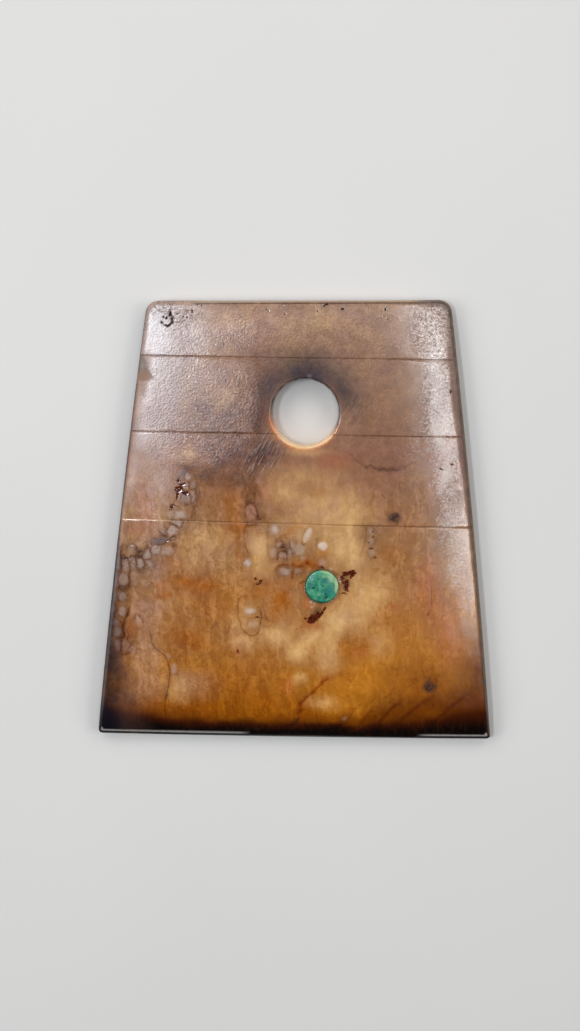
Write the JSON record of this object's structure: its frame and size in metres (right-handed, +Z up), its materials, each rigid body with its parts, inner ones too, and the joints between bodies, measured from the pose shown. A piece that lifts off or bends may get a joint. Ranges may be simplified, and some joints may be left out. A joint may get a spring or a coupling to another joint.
{
  "type": "axe pendant",
  "caption": "Flat tapering jade axe blade with a drilled suspension hole, scribed lines and a round turquoise inlay, lying on its back.",
  "frame": {"origin": "middle of the overall box, on the flat back that the blade lies on", "axes": "+X along the cutting edge to the right as seen from the front, +Y from the cutting edge to the butt, +Z up out of the front face"},
  "size_m": [0.113, 0.1256, 0.007],
  "materials": {
    "jade": "polished brown jade with mottled nodules, dark veins and dark burnt-looking edges",
    "turquoise": "satin green turquoise with darker specks"
  },
  "bodies": {
    "root": {"jade_blade": "jade", "turquoise_inlay": "turquoise"}
  },
  "joints": []
}
